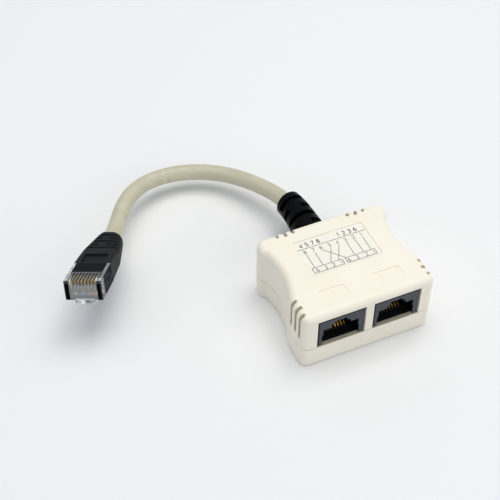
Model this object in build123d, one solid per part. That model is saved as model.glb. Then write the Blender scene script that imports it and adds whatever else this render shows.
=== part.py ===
from build123d import *
from math import radians, sqrt, tan
import os

os.makedirs("parts", exist_ok=True)

# Two-way RJ45 splitter: a waisted two-shell housing with two jacks and a short lead to a plug.
# Millimetres. X runs across the two ports, -Y is the port side, +Y the cable side and +Z is up.
# The origin is on the table under the middle of the housing.

# Housing outline, seen from above
housing_depth = 36.6
front_half_width = 22.0
back_extra = 0.1
waist_depth = 2.45
waist_share = 0.5984
waist_radius = 28.8
waist_end_from_back = 6.7
lobe_from_back = 5.4
back_corner_from_back = 0.45
front_corner_radius = 2.4
shoulder_radius = 10.8
lobe_inner_radius = 1.2
lobe_radius = 2.4
back_corner_radius = 2.8

# Housing, seen from the side
housing_height = 21.6
seam_share = 0.3588
wall = 2.0
top_edge_radius = 2.1
bottom_edge_radius = 0.8
seam_chamfer = 0.16

# Rim of the bottom shell that stands in a rebate of the top shell
rim_thickness = 0.8
rim_height = 1.2
rim_gap = 0.1

# Port windows and the ledge under them
jack_side_gap = 3.05
jack_middle_gap = 3.3
window_margin = 0.35
window_top_below_roof = 2.4
ledge_thickness = 1.45

# Blind vent grooves that start on top and run down the walls
groove_width = 1.2
groove_depth = 1.15
groove_end_height = 11.1
groove_pitch = 2.85
side_groove_from_front = 2.9
groove_start_inset = 1.8
middle_groove_extra = 0.4
back_groove_from_middle = 9.5
back_groove_pitch = 2.7
back_groove_inset = 1.45

# Shallow recesses on top: one for the label and a tapering one over each port
label_half_width = 12.1
label_front_from_front = 15.4
label_back_from_back = 6.4
label_recess_depth = 0.3
label_corner_radius = 0.8
label_thickness = 0.12
label_gap = 0.25
panel_width = 9.4
panel_back_from_front = 9.3
panel_front_from_front = 3.4
panel_depth = 0.3
panel_corner_radius = 1.3

# Circuit board and what carries it
board_thickness = 1.6
board_underside_height = 3.6
board_side_gap = 3.0
board_front_from_front = 2.3
board_back_from_back = 7.7
pillar_radius = 2.2
pillar_peg_radius = 0.95
pillar_hole_gap = 0.1
pillar_from_board_side = 2.8
pillar_share = 0.524
middle_pillar_from_front = 9.0
front_rest_length = 9.0
front_rest_thickness = 1.5

# Pegs that join the two shells at their corners
shell_peg_radius = 0.9
shell_peg_length = 3.4
shell_peg_gap = 0.05
front_post_radius = 1.55
front_post_from_side = 3.25
front_post_from_front = 5.2
back_post_radius = 2.1
back_post_from_side = 5.0
back_post_from_back = 4.9

# Jack shells
jack_depth = 16.0
jack_recess = 0.5
jack_top_gap = 0.6
jack_back_wall = 1.2
jack_leg_width = 1.75
jack_roof = 1.75
opening_side_step = 0.35
opening_step_share = 0.5758
opening_depth = 11.0
floor_gap = 0.05
notch_width = 6.3
notch_rise = 1.3
latch_slot_width = 4.1
latch_slot_rise = 1.15
jack_peg_radius = 0.6
jack_peg_from_front = 9.5
jack_peg_gap = 0.05
hold_down_rib = 1.2
hold_down_length = 10.0

# Contact carriers and spring contacts
contact_count = 8
contact_pitch = 1.02
contact_width = 0.45
contact_thickness = 0.3
contact_gap = 0.04
contact_tip_from_front = 4.3
contact_run_below_floor = 1.05
contact_bend_above_floor = 0.2
contact_end_from_front = 12.4
contact_end_below_top = 0.9
contact_tail_from_front = 11.9
contact_tail_stagger = 1.9
contact_tail_below_board = 0.9
contact_bend_radius = 0.5
carrier_front_from_front = 1.6
carrier_upright_front = 11.4
carrier_gap = 0.05
tail_hole_radius = 0.42

# Cable, its wires and its route from the strain relief to the plug
cable_radius = 2.75
wire_radius = 0.46
wire_count = 8
wire_start_pitch = 0.52
wire_start_rise = 0.7
wire_hole_pitch = 2.54
wire_hole_from_back = 11.2
wire_hole_gap = 0.06
wire_below_board = 0.9
wire_bend_above_board = 3.4
jacket_end_from_back = 5.4
relief_above_seam = 3.65
route = [
    (0, 23.5, housing_height * seam_share + relief_above_seam),
    (0, 37.7, housing_height * seam_share + relief_above_seam),
    (-4.5, 51.9, 8.9),
    (-13.2, 64.9, 6.9),
    (-25.4, 71.3, 6.6),
    (-38.4, 70.9, 7.9),
    (-49.6, 63.8, 9.4),
    (-58.0, 49.6, 9.0),
    (-65.2, 37.9, 13.9),
]

# Strain relief in the back wall
relief_base_radius = 5.6
relief_tip_radius = 4.5
relief_length = 20.7
relief_neck_radius = 4.4
relief_flange_thickness = 1.3
relief_gap = 0.1
relief_slot_width = 1.8
relief_slot_pitch = 4.0
relief_first_slot = 4.2
relief_slot_rows = 4
relief_slot_angle = 128
relief_slot_turn = 70
relief_skin = 0.75
relief_tip_rounding = 0.6

# Plug, in its own frame: X across, Y back from the nose and Z towards the contacts
plug_width = 11.68
plug_height = 6.5
plug_length = 21.46
plug_clear_length = 11.5
plug_cheek_thickness = 0.5
plug_cheek_end_from_nose = 17.6
plug_edge_radius = 0.35
plug_top_direction = (0.074, 0.349, 0.934)
plug_last_point_from_nose = 23.7
plug_side_wall = 0.95
plug_floor = 0.75
plug_roof = 0.8
comb_length = 5.4
comb_slot_width = 0.62
comb_slot_depth = 1.35
blade_width = 0.36
blade_length = 4.4
blade_from_nose = 0.45
blade_below_top = 0.25
blade_height = 3.1
wire_lane_height = -1.25
wire_lane_from_nose = 0.7
wire_lane_gap = 0.03
pocket_from_nose = 12.0
pocket_length = 5.8
pocket_width = 7.4
pocket_depth = 0.55
jacket_end_from_nose = 18.2
latch_width = 5.9
latch_lever_width = 3.3
latch_thickness = 1.1
latch_root_length = 1.5
latch_drop = 1.5
latch_catch_from_nose = 8.4
latch_end_from_nose = 17.5
latch_end_drop = 5.2

# Boot moulded into the plug body and round the cable
boot_gap = 0.04
boot_front_from_nose = 5.7
boot_length = 11.7
boot_end_width = 8.2
boot_end_height = 7.4
boot_end_corner = 3.4
boot_shoulder_corner = 1.6
boot_slot_width = 0.85
boot_slot_depth = 1.0
boot_skin = 0.3
boot_first_slot = 0.35
boot_slot_pitch = 2.04
boot_slot_rows = 5
boot_bridge_width = 2.2

# Places worked out from the sizes above
front_y = -housing_depth / 2
back_y = housing_depth / 2
back_half_width = front_half_width + back_extra
waist_half_width = front_half_width - waist_depth
waist_from_front = housing_depth * waist_share
waist_end_from_front = housing_depth - waist_end_from_back
lobe_from_front = housing_depth - lobe_from_back
back_corner_from_front = housing_depth - back_corner_from_back
seam_height = housing_height * seam_share
window_top_height = housing_height - window_top_below_roof
label_back_from_front = housing_depth - label_back_from_back
board_half_width = front_half_width - wall - board_side_gap
board_back_from_front = housing_depth - board_back_from_back
board_top = board_underside_height + board_thickness
front_post_x = front_half_width - front_post_from_side
back_post_x = back_half_width - back_post_from_side
back_post_from_front = housing_depth - back_post_from_back
jack_outer_x = front_half_width - wall - jack_side_gap
jack_width = jack_outer_x - jack_middle_gap / 2
port_pitch = jack_outer_x + jack_middle_gap / 2
window_width = jack_width + 2 * window_margin
opening_width = jack_width - 2 * jack_leg_width
opening_floor = seam_height + floor_gap
jack_top = window_top_height - jack_top_gap
jack_front = front_y + jack_recess
jack_back = jack_front + jack_depth
opening_top = jack_top - jack_roof - latch_slot_rise - notch_rise
opening_height = opening_top - opening_floor
opening_step_above_floor = opening_height * opening_step_share
pillar_x = board_half_width - pillar_from_board_side
pillar_from_front = jack_back - front_y + (board_back_from_front - jack_back + front_y) * pillar_share
contact_run_height = opening_floor - contact_run_below_floor
contact_bend_height = opening_floor + contact_bend_above_floor
contact_end_height = opening_top - contact_end_below_top
wire_hole_from_front = housing_depth - wire_hole_from_back
port_centres = {"left": -port_pitch / 2, "right": port_pitch / 2}
jacket_end_y = back_y - jacket_end_from_back
relief_height = route[0][2]
relief_core_radius = cable_radius + relief_skin


def box(x0, x1, y0, y1, z0, z1):
    """A box between two corners."""
    return Pos((x0 + x1) / 2, (y0 + y1) / 2, (z0 + z1) / 2) * Box(x1 - x0, y1 - y0, z1 - z0)


def rod(x, y, z0, z1, radius):
    """An upright round rod."""
    return Pos(x, y, (z0 + z1) / 2) * Cylinder(radius, z1 - z0)


def corner_points(face, x, y):
    """The vertices of a plan face that lie at plus or minus x and at y."""
    return [v for v in face.vertices() if abs(abs(v.X) - x) < 0.01 and abs(v.Y - y) < 0.01]


def flare_line(inset):
    """The short slanted stretch from waist to back lobe, as a start point and a direction, moved inwards."""
    waist_x = waist_half_width + waist_radius
    flare_y = front_y + waist_end_from_front
    flare_x = waist_x - sqrt(waist_radius**2 - (waist_end_from_front - waist_from_front) ** 2)
    rise = Vector(back_half_width - flare_x, front_y + lobe_from_front - flare_y).normalized()
    return Vector(flare_x, flare_y) + Vector(-rise.Y, rise.X) * inset, rise


def housing_outline(inset=0):
    """Plan of the housing, brought in by inset: waisted sides, flared back corners and a bowed back."""
    centre = Vector(waist_half_width + waist_radius, front_y + waist_from_front)
    radius = waist_radius + inset
    side_x = front_half_width - inset
    side_y = centre.Y - sqrt(radius**2 - (centre.X - side_x) ** 2)
    start, rise = flare_line(inset)
    reach = start - centre
    along = -reach.dot(rise) - sqrt(reach.dot(rise) ** 2 - reach.dot(reach) + radius**2)
    flare = start + rise * along
    lobe_x = back_half_width - inset
    lobe_y = start.Y + rise.Y * (lobe_x - start.X) / rise.X
    bow = housing_depth - back_corner_from_front
    back_radius = (back_half_width**2 + bow**2) / (2 * bow)
    corner_y = back_y - back_radius + sqrt((back_radius - inset) ** 2 - lobe_x**2)
    y0 = front_y + inset
    with BuildLine() as half:
        Polyline((0, y0), (side_x, y0), (side_x, side_y))
        ThreePointArc((side_x, side_y), (waist_half_width - inset, centre.Y), (flare.X, flare.Y))
        Polyline((flare.X, flare.Y), (lobe_x, lobe_y), (lobe_x, corner_y))
    edges = half.edges()
    crown = ThreePointArc((lobe_x, corner_y), (0, back_y - inset), (-lobe_x, corner_y))
    plan = make_face(edges + [crown] + [mirror(e, Plane.YZ) for e in edges])
    for x, y, corner in (
        (side_x, y0, front_corner_radius - inset),
        (side_x, side_y, shoulder_radius - inset),
        (flare.X, flare.Y, lobe_inner_radius + inset),
        (lobe_x, lobe_y, lobe_radius - inset),
        (lobe_x, corner_y, back_corner_radius - inset),
    ):
        plan = fillet(corner_points(plan, x, y), max(corner, 0.2))
    return plan


def prism(plan, z0, z1):
    """A plan face raised from one height to another."""
    return extrude(Pos(0, 0, z0) * plan, z1 - z0)


def edges_at(block, height):
    """The edges of a block that lie at one height."""
    return block.edges().filter_by_position(Axis.Z, height - 0.01, height + 0.01)


def rounded_block(inset):
    """The cover's outer form above the seam, brought in by inset on the sides and the top."""
    top = housing_height - inset
    block = prism(housing_outline(inset), seam_height, top)
    return fillet(edges_at(block, top), top_edge_radius - inset)


def side_groove_cuts():
    """Three grooves at each front corner: rounded at both ends, from the top face down the side wall."""
    cuts = []
    for side in (-1, 1):
        for k in range(3):
            y = front_y + side_groove_from_front + k * groove_pitch
            start = front_half_width - groove_start_inset - (middle_groove_extra if k == 1 else 0)
            reach = front_half_width + 3
            slot = box(start + groove_width / 2, reach, y - groove_width / 2, y + groove_width / 2,
                       groove_end_height + groove_width / 2, housing_height + 1)
            top_end = rod(start + groove_width / 2, y, groove_end_height, housing_height + 1,
                          groove_width / 2)
            low_end = Pos((start + reach) / 2, y, groove_end_height + groove_width / 2)
            low_end = low_end * Rot(0, 90, 0) * Cylinder(groove_width / 2, reach - start)
            cut = slot + top_end + low_end
            cuts.append(cut if side > 0 else mirror(cut, Plane.YZ))
    return cuts


def back_groove_cuts():
    """Three grooves on each side of the back wall, like the ones at the front corners."""
    cuts = []
    for side in (-1, 1):
        for k in range(3):
            x = side * (back_groove_from_middle + k * back_groove_pitch)
            start = back_y - back_groove_inset - (middle_groove_extra if k == 1 else 0)
            reach = back_y + 2
            slot = box(x - groove_width / 2, x + groove_width / 2, start - groove_width / 2, reach,
                       groove_end_height + groove_width / 2, housing_height + 1)
            top_end = rod(x, start - groove_width / 2, groove_end_height, housing_height + 1,
                          groove_width / 2)
            low_end = Pos(x, (start + reach) / 2, groove_end_height + groove_width / 2)
            low_end = low_end * Rot(90, 0, 0) * Cylinder(groove_width / 2, reach - start)
            cuts.append(slot + top_end + low_end)
    return cuts


def panel_cut(centre_x):
    """A recess over a port, deepest along its back edge and running out towards the front."""
    y0 = front_y + panel_front_from_front
    y1 = front_y + panel_back_from_front
    plan = Pos(centre_x, (y0 + y1) / 2) * RectangleRounded(panel_width, y1 - y0, panel_corner_radius)
    section = Plane.YZ * make_face(
        Polyline((y0, housing_height), (y1, housing_height - panel_depth), (y1, housing_height + 1),
                 (y0, housing_height + 1), (y0, housing_height))
    )
    wedge = extrude(section, port_pitch, both=True)
    return prism(plan, housing_height - 1, housing_height + 1) & wedge


def label_plan(gap):
    """The label's rounded rectangle, smaller by gap all round."""
    y0 = front_y + label_front_from_front
    y1 = front_y + label_back_from_front
    width = 2 * label_half_width - 2 * gap
    return Pos(0, (y0 + y1) / 2) * RectangleRounded(width, y1 - y0 - 2 * gap, label_corner_radius)


def relief_hole(gap):
    """The hole through the back wall that grips the strain relief's neck."""
    y0 = back_y - wall - 1
    y1 = back_y + 1
    hole = Pos(0, (y0 + y1) / 2, relief_height) * Rot(90, 0, 0) * Cylinder(relief_neck_radius + gap, y1 - y0)
    return hole


def shell_posts(z0, z1):
    """The four round posts at the corners, between two heights."""
    posts = []
    for side in (-1, 1):
        posts.append(rod(side * front_post_x, front_y + front_post_from_front, z0, z1, front_post_radius))
        posts.append(rod(side * back_post_x, front_y + back_post_from_front, z0, z1, back_post_radius))
    return posts


def shell_pegs(z0, z1, radius):
    """Pegs or peg holes on the axes of the four posts."""
    pegs = []
    for side in (-1, 1):
        pegs.append(rod(side * front_post_x, front_y + front_post_from_front, z0, z1, radius))
        pegs.append(rod(side * back_post_x, front_y + back_post_from_front, z0, z1, radius))
    return pegs


def rim_band(outer_inset, inner_inset, height):
    """A band that follows the inside of the wall above the seam, left out at the ports and the cable."""
    band = prism(housing_outline(outer_inset), seam_height, seam_height + height)
    band = band - prism(housing_outline(inner_inset), seam_height - 1, seam_height + height + 1)
    jack_side = port_pitch / 2 + window_width / 2
    band = band - box(-jack_side - 1, jack_side + 1, front_y - 1, front_y + wall + 1, 0, housing_height)
    cable_side = relief_base_radius + 1
    band = band - box(-cable_side, cable_side, 0, back_y + 1, 0, housing_height)
    return band


def make_top_shell():
    """Cover: roof, walls down to the seam, windows, grooves, recesses and the ribs inside."""
    ceiling = housing_height - wall
    outer = rounded_block(0)
    outer = chamfer(edges_at(outer, seam_height), seam_chamfer)
    core = rounded_block(groove_depth)
    for cut in side_groove_cuts() + back_groove_cuts():
        outer = outer - (cut - core)
    shell = outer - prism(housing_outline(wall), -1, ceiling)
    for x in port_centres.values():
        shell = shell - box(x - window_width / 2, x + window_width / 2, front_y - 1, front_y + wall + 1,
                            seam_height - 1, window_top_height)
        shell = shell - panel_cut(x)
        for side in (-1, 1):
            rib_x = x + side * jack_width / 4
            y0 = jack_front + wall + 1
            shell = shell + box(rib_x - hold_down_rib / 2, rib_x + hold_down_rib / 2, y0,
                                y0 + hold_down_length, jack_top, ceiling + 0.1)
    shell = shell - prism(label_plan(0), housing_height - label_recess_depth, housing_height + 1)
    for post in shell_posts(seam_height, ceiling + 0.1):
        shell = shell + post
    shell = shell - rim_band(wall - rim_thickness - rim_gap, wall + rim_gap, rim_height + rim_gap)
    for peg in shell_pegs(seam_height - shell_peg_length, seam_height + 1, shell_peg_radius):
        shell = shell + peg
    neck = relief_neck_radius + relief_gap
    shell = shell - relief_hole(relief_gap)
    shell = shell - box(-neck, neck, back_y - wall - 1, back_y + 1, seam_height - 1, relief_height)
    return shell


def make_bottom_shell():
    """Tray under the seam: floor, walls, ledge below the ports, board pillars and peg sockets."""
    block = prism(housing_outline(), 0, seam_height)
    block = fillet(edges_at(block, 0), bottom_edge_radius)
    block = chamfer(edges_at(block, seam_height), seam_chamfer)
    shell = block - prism(housing_outline(wall), wall, seam_height + 1)
    ledge_half = port_pitch / 2 + window_width / 2
    shell = shell - box(-ledge_half, ledge_half, front_y + ledge_thickness, front_y + wall + 0.5,
                        wall, seam_height + 1)
    shell = shell + rim_band(wall - rim_thickness, wall, rim_height)
    for post in shell_posts(wall - 0.1, seam_height):
        shell = shell + post
    for hole in shell_pegs(seam_height - shell_peg_length - 0.3, seam_height + 1,
                           shell_peg_radius + shell_peg_gap):
        shell = shell - hole
    for x, y in pillar_places():
        shell = shell + rod(x, y, wall - 0.1, board_underside_height, pillar_radius)
        shell = shell + rod(x, y, board_underside_height - 0.1, board_top + 0.4, pillar_peg_radius)
    for x in port_centres.values():
        y0 = front_y + board_front_from_front
        shell = shell + box(x - front_rest_length / 2, x + front_rest_length / 2, y0,
                            y0 + front_rest_thickness, wall - 0.1, board_underside_height)
    saddle_half = relief_base_radius + 1
    saddle = box(-saddle_half + 1.5, saddle_half - 1.5, back_y - wall, back_y - 0.5, wall - 0.1, seam_height)
    shell = shell + saddle
    shell = shell - relief_hole(relief_gap)
    return shell


def pillar_places():
    """Where the board is pinned: one place on each side behind the jacks and one between them."""
    y = front_y + pillar_from_front
    return [(-pillar_x, y), (pillar_x, y), (0, front_y + middle_pillar_from_front)]


def contact_x(centre_x, k):
    """Place across a jack or plug of contact number k, counted from 0 at the right."""
    return centre_x + ((contact_count - 1) / 2 - k) * contact_pitch


def tail_y(k):
    """Contact tails stand in two rows, so that the holes in the board don't meet."""
    return front_y + contact_tail_from_front + (k % 2) * contact_tail_stagger


def wire_hole_x(k):
    """Place across the board of wire number k, counted from 0 at the right."""
    return ((wire_count - 1) / 2 - k) * wire_hole_pitch


def make_board():
    """Board with holes for the contact tails, the wires, the jack pegs and the pillars' pegs."""
    y0 = front_y + board_front_from_front
    y1 = front_y + board_back_from_front
    plan = Pos(0, (y0 + y1) / 2) * RectangleRounded(2 * board_half_width, y1 - y0, 1)
    board = prism(plan, board_underside_height, board_top)
    low = board_underside_height - 1
    high = board_top + 1
    holes = []
    for x, y in pillar_places():
        holes.append(rod(x, y, low, high, pillar_peg_radius + pillar_hole_gap))
    for centre in port_centres.values():
        for k in range(contact_count):
            holes.append(rod(contact_x(centre, k), tail_y(k), low, high, tail_hole_radius))
        for x, y in jack_peg_places(centre):
            holes.append(rod(x, y, low, high, jack_peg_radius + jack_peg_gap))
    for k in range(wire_count):
        y = front_y + wire_hole_from_front
        holes.append(rod(wire_hole_x(k), y, low, high, wire_radius + wire_hole_gap))
    return board - holes


def jack_peg_places(centre_x):
    """The two pegs under a jack shell, one in the middle of each leg."""
    leg_middle = (jack_width / 2 + opening_width / 2 + opening_side_step) / 2
    y = front_y + jack_peg_from_front
    return [(centre_x - leg_middle, y), (centre_x + leg_middle, y)]


def make_jack_shell(centre_x):
    """Dark jack moulding: an arch over the contact carrier with a stepped latch notch in its roof."""
    half = jack_width / 2
    shell = box(centre_x - half, centre_x + half, jack_front, jack_back, board_top, jack_top)
    ledge_back = front_y + ledge_thickness + carrier_gap
    shell = shell - box(centre_x - half - 1, centre_x + half + 1, jack_front - 1, ledge_back,
                        board_top - 1, opening_floor)
    wide = opening_width / 2 + opening_side_step
    narrow = opening_width / 2
    step = opening_floor + opening_step_above_floor
    inner_back = jack_back - jack_back_wall
    shell = shell - box(centre_x - wide, centre_x + wide, jack_front - 1, inner_back, board_top - 1, step)
    shell = shell - box(centre_x - narrow, centre_x + narrow, jack_front - 1, inner_back,
                        step - 0.1, opening_top)
    notch_top = opening_top + notch_rise
    plug_stop = jack_front + opening_depth
    shell = shell - box(centre_x - notch_width / 2, centre_x + notch_width / 2, jack_front - 1, plug_stop,
                        opening_top - 0.1, notch_top)
    shell = shell - box(centre_x - latch_slot_width / 2, centre_x + latch_slot_width / 2, jack_front - 1,
                        plug_stop, notch_top - 0.1, notch_top + latch_slot_rise)
    for x, y in jack_peg_places(centre_x):
        shell = shell + rod(x, y, board_underside_height + 0.2, board_top + 0.1, jack_peg_radius)
    return shell


def contact_line():
    """Side view of a spring contact: tail, run along the carrier, front bend and the rising spring."""
    tip = front_y + contact_tip_from_front
    low = board_underside_height - contact_tail_below_board
    return [
        (front_y + contact_tail_from_front, low),
        (front_y + contact_tail_from_front, contact_run_height),
        (tip, contact_run_height),
        (tip, contact_bend_height),
        (front_y + contact_end_from_front, contact_end_height),
    ]


def make_contact(x, k):
    """One flat spring contact, swept along its side view."""
    points = [(x, y, z) for y, z in contact_line()]
    points[0] = (x, tail_y(k), points[0][2])
    points[1] = (x, tail_y(k), points[1][2])
    path = FilletPolyline(*points, radius=contact_bend_radius)
    start = Plane(origin=points[0], x_dir=(1, 0, 0), z_dir=(0, 0, 1))
    return sweep(start * Rectangle(contact_width, contact_thickness), path=path)


def make_carrier(centre_x):
    """Insert between a jack's legs: a low block with open lanes and an upright comb behind."""
    half = opening_width / 2 + opening_side_step - carrier_gap
    upper_half = opening_width / 2 - carrier_gap
    step = opening_floor + opening_step_above_floor
    back = jack_back - jack_back_wall - carrier_gap
    y0 = front_y + carrier_front_from_front
    block = box(centre_x - half, centre_x + half, y0, back, board_top, opening_floor)
    upright = front_y + carrier_upright_front
    block = block + box(centre_x - half, centre_x + half, upright, back,
                        opening_floor - 0.1, step - carrier_gap)
    block = block + box(centre_x - upper_half, centre_x + upper_half, upright, back,
                        step - carrier_gap - 0.1, opening_top - carrier_gap)
    lane = contact_width / 2 + contact_gap
    lane_floor = contact_run_height - contact_thickness / 2 - contact_gap
    lane_front = front_y + contact_tip_from_front - contact_thickness / 2 - contact_gap
    comb_back = front_y + contact_end_from_front + contact_thickness + 0.3
    for k in range(contact_count):
        x = contact_x(centre_x, k)
        tail_back = tail_y(k) + contact_thickness / 2 + contact_gap
        block = block - box(x - lane, x + lane, lane_front, tail_back, lane_floor, opening_floor + 0.6)
        block = block - box(x - lane, x + lane, tail_back - contact_thickness - 2 * contact_gap, tail_back,
                            board_top - 1, opening_floor)
        block = block - box(x - lane, x + lane, upright - 1, comb_back, opening_floor, opening_top + 1)
    return block


def route_radii(points):
    """The bend radius at each corner: 0.45 of the shorter run over the tangent of half the turn."""
    radii = []
    for a, b, c in zip(points, points[1:], points[2:]):
        first = Vector(*b) - Vector(*a)
        second = Vector(*c) - Vector(*b)
        half_turn = radians(first.get_angle(second) / 2)
        radii.append(0.45 * min(first.length, second.length) / tan(half_turn))
    return radii


def tube(path, radius):
    """A round tube swept along a path."""
    start = Plane(origin=path @ 0, z_dir=path % 0)
    return sweep(start * Circle(radius), path=path)


def plug_frame():
    """The plug's own frame, with its length on the last run of the cable's route."""
    last = Vector(*route[-1])
    rearward = (Vector(*route[-2]) - last).normalized()
    across = rearward.cross(Vector(*plug_top_direction)).normalized()
    nose = last - rearward * plug_last_point_from_nose
    return Plane(origin=nose, x_dir=across, z_dir=across.cross(rearward))


def make_cable():
    """Jacketed cable: the swept route, its first and last runs carried on into the relief and the boot."""
    radii = route_radii(route)
    start = (route[0][0], jacket_end_y, route[0][2])
    inside_plug = plug_last_point_from_nose - jacket_end_from_nose
    end = Vector(*route[-1]) - plug_frame().y_dir * inside_plug
    path = FilletPolyline(start, *route[1:-1], tuple(end), radius=radii)
    cable = tube(path, cable_radius)
    ratio = cable.volume / (3.14159265 * cable_radius**2 * path.length)
    print("cable radii", [round(r, 1) for r in radii])
    print("cable volume over section times length", round(ratio, 4))
    return cable


def board_wire(k):
    """One wire from the stripped end of the cable down into its hole in the board."""
    x0 = ((wire_count - 1) / 2 - k) * wire_start_pitch
    rise = wire_start_rise if k % 2 else -wire_start_rise
    z0 = relief_height + rise
    x1 = wire_hole_x(k)
    y1 = front_y + wire_hole_from_front
    low = board_underside_height - wire_below_board
    top = board_top + wire_bend_above_board + rise
    points = [(x0, jacket_end_y, z0), (x0, jacket_end_y - 1.6, z0), (x1, y1, top), (x1, y1, low)]
    return tube(FilletPolyline(*points, radius=0.9), wire_radius)


def relief_path():
    """Centre line of the strain relief: straight from the wall, then bent with the cable."""
    points = [(0, back_y, relief_height), route[1], route[2]]
    return FilletPolyline(*points, radius=route_radii(route)[0])


def relief_radius(distance):
    """Outer radius of the strain relief at a distance from the back wall."""
    return relief_base_radius + (relief_tip_radius - relief_base_radius) * distance / relief_length


def relief_slot(path, row):
    """Two opposite slots of one row, turned a quarter from those of the next row."""
    centre = relief_first_slot + row * relief_slot_pitch + relief_slot_width / 2
    reach = relief_base_radius + 2
    middle = (relief_core_radius + reach) / 2
    section = Plane.XZ * Pos(middle, 0) * Rectangle(reach - relief_core_radius, relief_slot_width)
    turn = relief_slot_turn + (0 if row % 2 else 90)
    place = Plane(origin=path.position_at(centre, position_mode=PositionMode.LENGTH),
                  x_dir=(1, 0, 0),
                  z_dir=path.tangent_at(centre, position_mode=PositionMode.LENGTH))
    slots = []
    for opposite in (0, 180):
        sector = revolve(section, Axis.Z, relief_slot_angle)
        slots.append(place * Rot(0, 0, turn + opposite - relief_slot_angle / 2) * sector)
    return slots


def make_relief(cable):
    """Black sleeve: flange and neck in the back wall, tapering slotted tail, bent with the cable."""
    path = relief_path()
    straight = Vector(*route[1]).Y - 0.45 * (Vector(*route[1]) - Vector(*route[0])).length - back_y
    stations = [relief_gap, straight]
    sections = []
    steps = 4
    for k in range(steps + 1):
        stations.append(straight + (relief_length - relief_tip_rounding - straight) * k / steps)
    for s in stations[2:]:
        place = Plane(origin=path.position_at(s, position_mode=PositionMode.LENGTH),
                      x_dir=(1, 0, 0), z_dir=path.tangent_at(s, position_mode=PositionMode.LENGTH))
        sections.append(place * Circle(relief_radius(s)))
    tail = loft(sections)
    end_s = relief_length - relief_tip_rounding
    end = Plane(origin=path.position_at(end_s, position_mode=PositionMode.LENGTH), x_dir=(1, 0, 0),
                z_dir=path.tangent_at(end_s, position_mode=PositionMode.LENGTH))
    r1 = relief_radius(end_s)
    tip = end * Pos(0, 0, relief_tip_rounding / 2) * Cone(r1, r1 - relief_tip_rounding, relief_tip_rounding)
    middle = (0, back_y + (relief_gap + straight) / 2, relief_height)
    base = Plane(origin=middle, x_dir=(1, 0, 0), z_dir=(0, 1, 0))
    base = base * Cone(relief_radius(relief_gap), relief_radius(straight), straight - relief_gap)
    sleeve = base + tail + tip
    for row in range(relief_slot_rows):
        for slot in relief_slot(path, row):
            sleeve = sleeve - slot
    inner = back_y - wall - relief_gap
    neck = Pos(0, (inner + back_y + relief_gap) / 2, relief_height) * Rot(90, 0, 0)
    neck = neck * Cylinder(relief_neck_radius, back_y + relief_gap - inner + 0.2)
    flange = Pos(0, inner - relief_flange_thickness / 2, relief_height) * Rot(90, 0, 0)
    flange = flange * Cylinder(relief_base_radius, relief_flange_thickness)
    return sleeve + neck + flange - cable


def plug_wire_lane(k):
    """Centre line of one wire in the plug, from the nose to the stripped end of the jacket."""
    x0 = contact_x(0, k)
    x1 = ((wire_count - 1) / 2 - k) * wire_start_pitch
    z1 = wire_start_rise if k % 2 else -wire_start_rise
    points = [
        (x0, wire_lane_from_nose, wire_lane_height),
        (x0, boot_front_from_nose + 1.2, wire_lane_height),
        (x1, jacket_end_from_nose - 1.2, z1),
        (x1, jacket_end_from_nose, z1),
    ]
    return FilletPolyline(*points, radius=0.9)


def make_plug_wire(k):
    """One insulated wire of the cable inside the plug."""
    return tube(plug_wire_lane(k), wire_radius)


def blade_box(k, gap):
    """The space of one contact blade, larger by gap across."""
    x = contact_x(0, k)
    half = blade_width / 2 + gap
    top = plug_height / 2 - blade_below_top
    return box(x - half, x + half, blade_from_nose, blade_from_nose + blade_length, top - blade_height, top)


def make_plug_contact(k):
    """One gold blade: rounded top corners, with its lower edge cut into tines that pierce the wire."""
    blade = blade_box(k, 0)
    top_edges = blade.edges().filter_by(Axis.X).group_by(Axis.Z)[-1]
    blade = fillet(top_edges, 0.5)
    x = contact_x(0, k)
    low = plug_height / 2 - blade_below_top - blade_height
    for part in (1, 3):
        y = blade_from_nose + blade_length * part / 4
        blade = blade - box(x - 1, x + 1, y - 0.5, y + 0.5, low - 1, wire_lane_height + wire_radius + 0.05)
    lane = extrude(Plane(origin=(x, 0, wire_lane_height), z_dir=(0, 1, 0)) * Circle(wire_radius), 20)
    return blade - lane


def make_latch():
    """Latch tab under the nose: root, wide catch and the narrow lever that slopes away behind it."""
    under = -plug_height / 2
    thick = latch_thickness
    root_end = 0.35 + latch_root_length
    plate = Plane.YZ * make_face(Polyline(
        (0.35, under + 0.3), (0.35, under - latch_drop), (root_end, under - latch_drop - 0.25),
        (latch_catch_from_nose, under - latch_drop - 1.1),
        (latch_catch_from_nose, under - latch_drop - 1.1 + thick),
        (root_end, under - latch_drop - 0.25 + thick), (root_end, under + 0.3), (0.35, under + 0.3)))
    catch = extrude(plate, latch_width / 2, both=True)
    start = latch_catch_from_nose - 0.4
    lever = Plane.YZ * make_face(Polyline(
        (start, under - latch_drop - 1.05), (latch_end_from_nose, under - latch_end_drop),
        (latch_end_from_nose, under - latch_end_drop + thick),
        (start, under - latch_drop - 1.05 + thick), (start, under - latch_drop - 1.05)))
    return catch + extrude(lever, latch_lever_width / 2, both=True)


def plug_cavity(gap):
    """The room inside the plug body behind the comb that the boot's front fills, smaller by gap."""
    half = plug_width / 2 - plug_side_wall - gap
    low = -plug_height / 2 + plug_floor + gap
    high = plug_height / 2 - plug_roof - gap
    return box(-half, half, boot_front_from_nose + gap, plug_length + 1, low, high)


def plug_cheeks(gap):
    """The clear body's two side walls behind its full section, larger by gap."""
    inner = plug_width / 2 - plug_side_wall - gap
    outer = plug_width / 2 - plug_side_wall + plug_cheek_thickness + gap
    low = -plug_height / 2 + plug_floor - gap
    high = plug_height / 2 - plug_roof + gap
    start = plug_clear_length - 0.2
    end = plug_cheek_end_from_nose + gap
    return [box(inner, outer, start, end, low, high), box(-outer, -inner, start, end, low, high)]


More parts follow.
